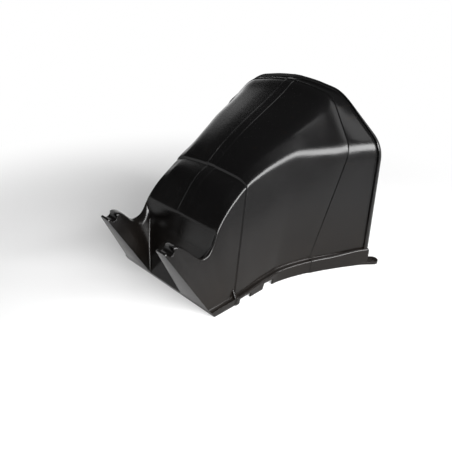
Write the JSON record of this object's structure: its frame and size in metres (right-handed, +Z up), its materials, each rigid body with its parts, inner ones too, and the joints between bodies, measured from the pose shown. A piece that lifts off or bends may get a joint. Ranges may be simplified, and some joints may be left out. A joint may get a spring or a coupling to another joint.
{
  "type": "mower deck deflector",
  "caption": "Thin-walled moulded hood that guides cuttings down behind a mower deck, with an arched rear opening, front horns that cradle a support tube, and rear bolt lugs.",
  "frame": {"origin": "on the ground, in the middle of the hood's front edge", "axes": "+X across the hood, +Y from the front edge to the arched rear opening, +Z up; the hood is symmetric about X = 0"},
  "size_m": [0.554, 0.5501, 0.43],
  "materials": {
    "hood_plastic": "satin black, as moulded"
  },
  "bodies": {
    "root": {"deflector_hood": "hood_plastic"}
  },
  "joints": []
}
